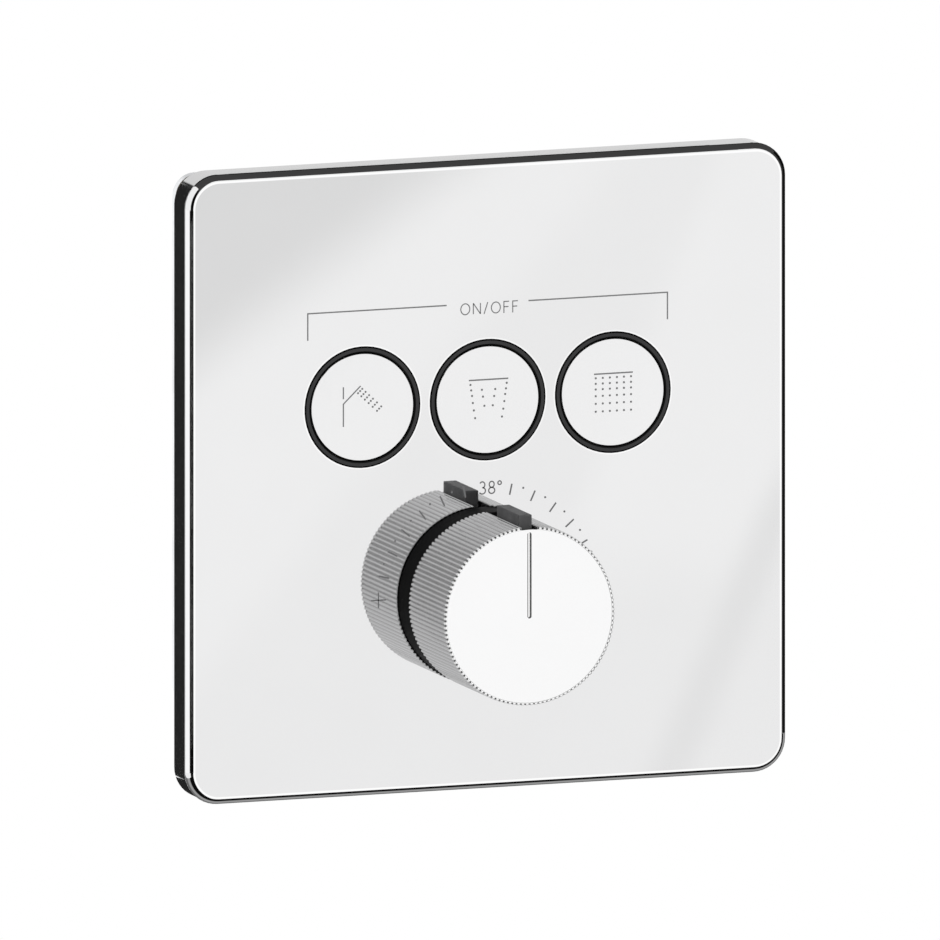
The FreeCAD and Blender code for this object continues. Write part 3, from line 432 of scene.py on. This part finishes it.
def working_spring(name, body, axis):
    """A copy of the spring's solid that rides with a body, in place of the original, which is hidden.
    """
    solid = nodes[name]
    low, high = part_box(name)
    made = bpy.data.objects.new(name + "_coil", solid.data.copy())
    made.matrix_world = solid.matrix_world
    scene.collection.objects.link(made)
    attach(made, body)
    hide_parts(name)
    reach = Vector(axis).dot(high - low)
    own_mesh(made)


for place in BUTTONS:
    working_spring(place + "_return_spring", "fixed_body", (0, 1, 0))
working_spring("regulator_return_spring", "fixed_body", (0, 1, 0))
working_spring("safety_spring", "knob", (0, 0, -1))

# ---------------------------------------------------------------- pipe threads

# in millimetres: the bore of a port, and the pitch and height of the thread's ridge
PORT_RADIUS, PITCH, RIDGE = 9.32, 1.814, 0.75
TURNS, PARTS = 6, 48

# how far the first turn starts inside the mouth, and how deep the ridge's foot sits in the wall
LEAD_IN, ROOT = 0.9, 0.04

# half widths of the ridge's foot and crest, in pitches
FOOT, CREST = 0.32, 0.05


def wind_thread(mesh, mouth, inward):
    """One ridge of a G 1/2 thread from the mouth of a port inward; it runs out at both ends."""
    axis, side = Vector(inward), Vector((0, 1, 0) if inward[1] == 0 else (1, 0, 0))
    other = axis.cross(side)
    rows = []
    count = TURNS * PARTS
    for i in range(count + 1):
        angle = 2 * math.pi * i / PARTS
        deep = LEAD_IN + PITCH * i / PARTS
        fade = min(1.0, 3 * i / PARTS, 3 * (count - i) / PARTS)
        crest = PORT_RADIUS - max(0.05, RIDGE * fade)
        out = side * math.cos(angle) + other * math.sin(angle)
        rows.append([mesh.verts.new((Vector(mouth) + out * r + axis * d) * MM) for r, d in (
            (PORT_RADIUS + ROOT, deep - FOOT * PITCH), (crest, deep - CREST * PITCH),
            (crest, deep + CREST * PITCH), (PORT_RADIUS + ROOT, deep + FOOT * PITCH))])
    for a, b in zip(rows, rows[1:]):
        for j in range(4):
            k = (j + 1) % 4
            mesh.faces.new((a[j], a[k], b[k], b[j]))
    mesh.faces.new(rows[0][::-1])
    mesh.faces.new(rows[-1])


threads = bmesh.new()
for place in BUTTONS.values():
    wind_thread(threads, (place / MM, 30.0, 60.0), (0, 0, -1))
for side in (-1, 1):
    wind_thread(threads, (side * 58.0, 36.0, KNOB_Z / MM), (-side, 0, 0))
bmesh.ops.recalc_face_normals(threads, faces=threads.faces)
made = build("port_threads", threads, MATERIALS["turned_brass"])
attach(made, "fixed_body")

# ---------------------------------------------------------------- printed marks

INK = ink("print_ink", (0.22, 0.22, 0.224))

# how far the front and the back of the ink film stand off the face, in metres
INK_FRONT, INK_BACK = 0.000015, 0.000002
DOT_SIDES = 20

# how sharp a corner's mitre may get
MITRE = 0.35


class Print:
    """Flat ink film on a face that looks along -Y, drawn in millimetres about a given middle."""

    def __init__(self, name, x, z, y):
        self.name, self.x, self.z, self.y = name, x, z, y
        self.mesh = bmesh.new()

    def corners(self, outline, off):
        return [self.mesh.verts.new((self.x + p[0] * MM, self.y - off, self.z + p[1] * MM))
                for p in outline]

    def film(self, outline):
        """One closed flat shape with its thin edge."""
        front = self.corners(outline, INK_FRONT)
        back = self.corners(outline, INK_BACK)
        self.mesh.faces.new(front)
        self.mesh.faces.new(back[::-1])
        for i in range(len(outline)):
            j = (i + 1) % len(outline)
            self.mesh.faces.new((front[j], front[i], back[i], back[j]))

    def dot(self, x, z, radius):
        turns = [2 * math.pi * i / DOT_SIDES for i in range(DOT_SIDES)]
        self.film([(x + radius * math.cos(t), z + radius * math.sin(t)) for t in turns])

    def line(self, points, width, closed=False):
        """A stroke of one width with mitred corners."""
        pts = [Vector(p) for p in points]
        n = len(pts)
        left, right = [], []
        for i, p in enumerate(pts):
            before = pts[i - 1] if i or closed else None
            after = pts[(i + 1) % n] if i < n - 1 or closed else None
            a = (p - before).normalized() if before is not None else None
            b = (after - p).normalized() if after is not None else None
            a, b = a or b, b or a
            turn = (a + b).normalized()
            side = Vector((-turn.y, turn.x)) * (width / 2 / max(MITRE, turn.dot(a)))
            left.append(p + side)
            right.append(p - side)
        for i in range(n if closed else n - 1):
            j = (i + 1) % n
            self.film([left[i], right[i], right[j], left[j]])

    def arc(self, x, z, rx, rz, start, end, width, steps):
        """Part of an ellipse between two angles in degrees, or all of it."""
        closed = abs(abs(end - start) - 360) < 0.01
        count = steps if closed else steps + 1
        pts = []
        for i in range(count):
            t = math.radians(start + (end - start) * i / steps)
            pts.append((x + rx * math.cos(t), z + rz * math.sin(t)))
        self.line(pts, width, closed)

    def done(self, body):
        bmesh.ops.remove_doubles(self.mesh, verts=self.mesh.verts, dist=1e-8)
        bmesh.ops.recalc_face_normals(self.mesh, faces=self.mesh.faces)
        made = build(self.name, self.mesh, INK)
        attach(made, body)


# widths of the letters and figures, for a height of 1
LETTER_WIDTH = {"O": 0.86, "N": 0.68, "F": 0.5, "/": 0.36, "3": 0.52, "8": 0.52, "degree": 0.3}


def letter(draw, kind, x, z, h, w):
    """Thin upright letters and figures; x is the left side and z the foot."""
    r = x + LETTER_WIDTH[kind] * h
    m, top = (x + r) / 2, z + h
    if kind == "O":
        draw.arc(m, z + h / 2, (r - x) / 2, h / 2, 0, 360, w, 40)
    elif kind == "N":
        draw.line([(x, z), (x, top)], w)
        draw.line([(x, top), (r, z)], w)
        draw.line([(r, z), (r, top)], w)
    elif kind == "F":
        draw.line([(x, z - w / 2), (x, top), (r, top)], w)
        draw.line([(x, z + h * 0.52), (r - h * 0.06, z + h * 0.52)], w)
    elif kind == "/":
        draw.line([(x, z - h * 0.04), (r, top + h * 0.04)], w)
    elif kind == "3":
        draw.arc(m - h * 0.02, z + h * 0.74, h * 0.22, h * 0.25, 150, -80, w, 20)
        draw.arc(m - h * 0.02, z + h * 0.255, h * 0.27, h * 0.26, 92, -152, w, 24)
    elif kind == "8":
        draw.arc(m, z + h * 0.745, h * 0.21, h * 0.245, 0, 360, w, 28)
        draw.arc(m, z + h * 0.25, h * 0.26, h * 0.25, 0, 360, w, 30)
    elif kind == "degree":
        draw.arc(m, z + h * 0.84, h * 0.15, h * 0.15, 0, 360, w, 20)


def write(draw, text, x, z, h, w, width):
    """Sets a word of a given width with its left side at x."""
    ink_width = sum(LETTER_WIDTH[k] for k in text) * h
    gap = (width - ink_width) / (len(text) - 1)
    for kind in text:
        letter(draw, kind, x, z, h, w)
        x += LETTER_WIDTH[kind] * h + gap


# the bracket over the three buttons
p = Print("on_off_print", 0, 0, FACE)
for side in (-1, 1):
    p.line([(side * 51.0, 39.0), (side * 51.0, 46.3), (side * 11.6, 46.3)], 0.38)
write(p, "ON/OFF", -7.6, 43.5, 2.95, 0.3, 16.2)
p.done("fixed_body")

# the temperature scale round the knob: millimetres from its middle, and degrees from tick to tick
TICK_START, TICK_END, TICK_WIDTH = 28.95, 32.0, 0.45
DOT_RING, DOT_RADIUS = 31.6, 0.3
STEP = 12.45
SIGN_WIDTH = 0.36


def clock(radius, angle):
    """A place on the scale: 0 degrees is straight up, and more turns it to the right."""
    t = math.radians(angle)
    return radius * math.sin(t), radius * math.cos(t)


p = Print("temperature_print", 0, PRINT_Z, FACE)
for side in (-1, 1):
    for k in range(1, 7):
        angle = side * STEP * k
        p.line([clock(TICK_START, angle), clock(TICK_END, angle)], TICK_WIDTH)
    for k in range(1, 6):
        p.dot(*clock(DOT_RING, side * STEP * (k + 0.5)), DOT_RADIUS)
p.line([(-33.1, 1.9), (-28.8, 1.9)], SIGN_WIDTH)
p.line([(-30.95, -0.2), (-30.95, 4.0)], SIGN_WIDTH)
p.line([(28.8, 1.9), (33.1, 1.9)], SIGN_WIDTH)
write(p, ("3", "8", "degree"), -2.3, 28.95, 3.3, SIGN_WIDTH, 6.2)
p.done("fixed_body")

BUTTON_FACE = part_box("hand_button")[0].y
BAR_WIDTH = 0.4
DROP = 0.31

# the hand shower sign: a handle, and drops that spread as they leave it
p = Print("hand_sign", BUTTONS["hand"], BUTTON_Z, BUTTON_FACE)
p.line([(-5.4, 5.7), (-5.4, 2.45)], SIGN_WIDTH)
p.line([(-0.5, 5.75), (-5.4, 1.1), (-5.4, -5.05)], SIGN_WIDTH)
for row in range(6):
    away = 0.9 * row + 0.035 * row * row
    for col in range(3):
        p.dot(away - 0.04 - 0.6 * col, 4.95 - 0.94 * away - 0.56 * col, 0.29)
p.done("hand_actuator")

# the shoulder jet sign: two sprays fan in from a bar
SPRAY = ((5.14, 4.05), (4.93, 2.56), (4.69, 1.04), (4.46, -0.87), (4.17, -2.9), (3.81, -5.0),
         (1.89, 2.55), (1.59, 0.68), (1.19, -1.8))
p = Print("jet_sign", BUTTONS["jet"] + 0.28 * MM, BUTTON_Z + 0.2 * MM, BUTTON_FACE)
p.line([(-5.6, 5.25), (5.6, 5.25)], BAR_WIDTH)
for side in (-1, 1):
    for x, z in SPRAY:
        p.dot(side * x, z, DROP)
p.done("jet_actuator")

# the overhead rain sign: a bar over a field of drops
p = Print("rain_sign", BUTTONS["rain"] + 0.17 * MM, BUTTON_Z + 0.16 * MM, BUTTON_FACE)
p.line([(-5.5, 4.95), (5.5, 4.95)], BAR_WIDTH)
for col in range(6):
    for z in (3.85, 2.34, 0.82, -1.0, -3.05, -5.19):
        p.dot(2.0 * (col - 2.5), z, DROP)
p.done("rain_actuator")

# ---------------------------------------------------------------- studio

scene.view_settings.view_transform = "Standard"

# strengths of white: what lights the valve from all round, and what lifts the floor for the camera
AMBIENT, FLOOR_LIFT = 0.55, 0.4
FLOOR_SIZE, FLOOR_Z, FLOOR_GREY = 9.0, -1.1, 0.86


def shows_background(tree):
    """1 for rays that see the background itself: camera, reflection and transmission rays."""
    path = tree.nodes.new("ShaderNodeLightPath")
    total = path.outputs["Is Camera Ray"]
    for name in ("Is Glossy Ray", "Is Transmission Ray"):
        add = tree.nodes.new("ShaderNodeMath")
        add.operation = "ADD"
        add.use_clamp = True
        tree.links.new(total, add.inputs[0])
        tree.links.new(path.outputs[name], add.inputs[1])
        total = add.outputs[0]
    return total


world = bpy.data.worlds.new("studio")
scene.world = world
world.use_nodes = True
tree = world.node_tree
level = tree.nodes.new("ShaderNodeMapRange")
level.inputs["To Min"].default_value = AMBIENT
level.inputs["To Max"].default_value = 1.0
tree.links.new(shows_background(tree), level.inputs["Value"])
tree.nodes["Background"].inputs["Color"].default_value = (1, 1, 1, 1)
tree.links.new(level.outputs["Result"], tree.nodes["Background"].inputs["Strength"])

# pale floor, well below a valve that hangs on a wall at shower height
bpy.ops.mesh.primitive_plane_add(size=FLOOR_SIZE, location=(0, 0, FLOOR_Z))
floor = bpy.context.object
floor.name = "floor"
ground = bpy.data.materials.new("floor_paint")
ground.use_nodes = True
tree = ground.node_tree
shader = tree.nodes["Principled BSDF"]
shader.inputs["Base Color"].default_value = (FLOOR_GREY, FLOOR_GREY, FLOOR_GREY, 1)
shader.inputs["Roughness"].default_value = 0.9
shader.inputs["Emission Color"].default_value = (1, 1, 1, 1)
lift = tree.nodes.new("ShaderNodeMath")
lift.operation = "MULTIPLY"
lift.inputs[1].default_value = FLOOR_LIFT
tree.links.new(shows_background(tree), lift.inputs[0])
tree.links.new(lift.outputs[0], shader.inputs["Emission Strength"])
floor.data.materials.append(ground)
floor.visible_glossy = False


def only_reflected(made):
    """Studio dressing that only reflections see."""
    made.visible_camera = made.visible_diffuse = made.visible_shadow = False
    made.visible_transmission = made.visible_volume_scatter = False


class Glow(Shader):
    """An emission material whose strength can change over the object's own place."""

    def __init__(self, name, strength):
        self.start(name)
        self.tree.nodes.clear()
        out = self.node("ShaderNodeOutputMaterial")
        self.lamp = self.node("ShaderNodeEmission")
        self.value = strength
        self.feed(strength, self.lamp.inputs["Strength"])
        self.link(self.lamp.outputs[0], out.inputs["Surface"])
        self.place = self.node("ShaderNodeTexCoord").outputs["Object"]

    def layer(self, mask, strength):
        """Puts a light or dark shape over what is there."""
        made = self.node("ShaderNodeMix")
        for value, socket in ((mask, FLOAT_FACTOR), (self.value, FLOAT_A), (strength, FLOAT_B)):
            self.feed(value, made.inputs[socket])
        self.value = made.outputs[FLOAT_OUT]
        self.link(self.value, self.lamp.inputs["Strength"])


# strength of a flag, which mirrors as black
FLAG = 0.004


def back_wall():
    """What the side walls and the knurl mirror: a round panel, light above a soft diagonal."""
    glow = Glow("back_wall", 0.75)
    x, y, _ = glow.split()
    glow.layer(glow.step(glow.math("ADD", x, y), 13400, 9200), 0.02)
    bpy.ops.mesh.primitive_circle_add(vertices=96, radius=34.0, fill_type="NGON",
                                      location=(0, 60, 0), rotation=(math.radians(90), 0, 0))
    made = bpy.context.object
    made.name = "back_wall"
    made.data.materials.append(glow.material)
    only_reflected(made)


def bracket_card():
    """A light close behind the bracket, so that its bright zinc edge melts into the white."""
    bpy.ops.mesh.primitive_plane_add(size=1.0, location=(-0.085, 0.115, 0.0),
                                     rotation=(math.radians(90), 0, 0))
    made = bpy.context.object
    made.name = "bracket_card"
    made.scale = (0.05, 0.24, 1)
    made.data.materials.append(Glow("bracket_card", 1.3).material)
    only_reflected(made)


def strip(name, start, end, strength, distance=40.0, half=0.35):
    """A bent flag or light band from one azimuth to another, as high as the view's mirror image."""
    mesh = bmesh.new()
    rows = []
    count = max(2, int(abs(end - start) / 3))
    for i in range(count + 1):
        a = math.radians(start + (end - start) * i / count)
        rows.append([mesh.verts.new((math.sin(a) * distance, FACE - math.cos(a) * distance,
                                     math.tan(math.radians(e)) * distance))
                     for e in (-VIEW_ELEVATION - half, -VIEW_ELEVATION + half)])
    for a, b in zip(rows, rows[1:]):
        mesh.faces.new((a[0], b[0], b[1], a[1]))
    only_reflected(build(name, mesh, Glow(name, strength).material))


back_wall()
bracket_card()
strip("front_left_flag", -6, -63, FLAG)
strip("left_band", -64, -157, 1.1)

# Flags a finger's width off the plate's edge, which draw its dark outline. Each is a row of
# stations in millimetres: x, z, and the y of its near and its far side.
OFF = 6.0


def beside_plate(beta):
    """A place on the flags' line: 0 is the left side, 90 the top, 180 the right, -90 the bottom."""
    b = math.radians(beta)
    x, z = -math.cos(b), math.sin(b)
    middle = [0 if abs(v) < 1e-6 else math.copysign(EDGE - CORNER, v) for v in (x, z)]
    return middle[0] + x * (CORNER + OFF), middle[1] + z * (CORNER + OFF)


def turn(start, end, near_a, near_b, far_a, far_b, steps=12):
    """Stations from one angle to another, while near and far change evenly."""
    out = []
    for i in range(steps + 1):
        u = i / steps
        x, z = beside_plate(start + (end - start) * u)
        out.append((x, z, near_a + (near_b - near_a) * u, far_a + (far_b - far_a) * u))
    return out


def flag(name, stations, layers=()):
    """A black flag; each layer starts and ends at a y, and glows beyond it."""
    mesh = bmesh.new()
    rows = [[mesh.verts.new((x * MM, y * MM, z * MM)) for y in (near, far)]
            for x, z, near, far in stations]
    for r, s in zip(rows, rows[1:]):
        mesh.faces.new((r[0], s[0], s[1], r[1]))
    glow = Glow(name, FLAG)
    _, y, _ = glow.split()
    for start, end, strength in layers:
        glow.layer(glow.step(y, start, end), strength)
    only_reflected(build(name, mesh, glow.material))


LEVEL, STRAIGHT = EDGE + OFF, EDGE - CORNER
# over the top, then down the right side
top = turn(48, 89.9, -39, -24, 6, 8.3)
top += [(-74.1, LEVEL, -24, 9.4), (-71.6, LEVEL, -24, 11.7), (-68.5, LEVEL, -24, 16),
        (-64.9, LEVEL, -24, 22), (-60, LEVEL, -24, 24), (STRAIGHT, LEVEL, -24, 24)]
top += turn(90.1, 120, -23, -22, 22, 12.3, 6)
top += turn(120, 140, -22, -21, 12.3, 14, 4)
flag("top_flag", top, [(-1, -6, 0.055)])
right_side = turn(140, 179.9, -21, -19, 14, 8) + [(LEVEL, -STRAIGHT, -19, 8)]
flag("right_flag", right_side, [(-13, -16, 0.055)])
# under the bottom, with a pale floor's glow in it
bottom = turn(-15, -89.9, -50, -21.2, 8, 8) + turn(-90.1, -179.9, -21.2, -19, 8, 8)
flag("bottom_flag", bottom, [(-14.6, -12.8, 0.36), (-9.5, -7.5, 0.15)])
# the front part of the two left corners
upper = [(-LEVEL, STRAIGHT - 5, -60, -17.5)] + turn(0.1, 48, -60, -39, -17.5, -17.5)
flag("upper_corner_flag", upper)
lower = [(-LEVEL, 5 - STRAIGHT, -60, -17.5)] + turn(-0.1, -15, -60, -50, -17.5, -17.5)
flag("lower_corner_flag", lower)


def soft_card(size=0.26, distance=1.2):
    """The nearest panel, which the plate's face mirrors in the main view: slow, broad fall-offs."""
    glow = Glow("soft_card", 1.0)
    u, v, _ = glow.split()

    def slant(b):
        return glow.math("ADD", u, glow.math("MULTIPLY", v, b))

    # darker towards the upper left, and a faint second step below it
    glow.layer(glow.step(slant(-0.8), -44, -23), 0.963)
    second = glow.math("MULTIPLY", glow.step(slant(-0.4), 22.4, 33.1), glow.step(v, -39, -12.5))
    glow.layer(second, 1.0)
    glow.layer(glow.step(slant(-1.3), -98, -134), 0.815)
    # a soft darker streak near the right side
    streak = glow.math("MULTIPLY", glow.step(slant(-0.42), 71.9, 81.5),
                       glow.step(slant(-0.42), 91.9, 82.2))
    glow.layer(glow.math("MULTIPLY", streak, glow.step(v, 24, -12)), 0.885)
    mirrored = towards(-VIEW_AZIMUTH, -VIEW_ELEVATION)
    bpy.ops.mesh.primitive_plane_add(size=size)
    made = bpy.context.object
    made.name = "soft_card"
    made.rotation_mode = "QUATERNION"
    made.rotation_quaternion = mirrored.to_track_quat("Z", "Y")
    made.location = Vector((0, FACE, 0)) + mirrored * distance
    made.data.materials.append(glow.material)
    only_reflected(made)


soft_card()


def lamp(name, place, size, power):
    """A square lamp that looks at the valve and shows in no reflection."""
    data = bpy.data.lights.new(name, "AREA")
    data.shape = "SQUARE"
    data.size = size
    data.energy = power
    made = bpy.data.objects.new(name, data)
    scene.collection.objects.link(made)
    made.location = place
    made.rotation_mode = "QUATERNION"
    made.rotation_quaternion = (-Vector(place)).to_track_quat("-Z", "Y")
    made.visible_glossy = False
    made.visible_camera = False


lamp("key", (-1.1, -1.7, 1.6), 1.2, 18)
lamp("fill", (1.5, -1.6, 0.5), 1.2, 9)
lamp("back", (0.6, 1.8, 1.5), 1.4, 14)

# ---------------------------------------------------------------- camera

# the frame's width in metres and pixels, and the plate's place in it, in pixels from the middle
SPAN, PIXELS = 0.2505, 940
PLATE_RIGHT, PLATE_DOWN = 17.6, 4.4
CAMERA_DISTANCE = 1.5

back = towards(VIEW_AZIMUTH, VIEW_ELEVATION)
azimuth = math.radians(VIEW_AZIMUTH)
right = Vector((math.cos(azimuth), math.sin(azimuth), 0))
up = back.cross(right)
camera = bpy.data.objects.new("camera", bpy.data.cameras.new("camera"))
scene.collection.objects.link(camera)
camera.data.type = "ORTHO"
camera.data.ortho_scale = SPAN
camera.data.clip_end = 20
camera.rotation_mode = "QUATERNION"
camera.rotation_quaternion = (-back).to_track_quat("-Z", "Y")
pixel = SPAN / PIXELS
camera.location = (Vector((0, FACE, 0)) - right * (PLATE_RIGHT * pixel)
                   + up * (PLATE_DOWN * pixel) + back * CAMERA_DISTANCE)
scene.camera = camera
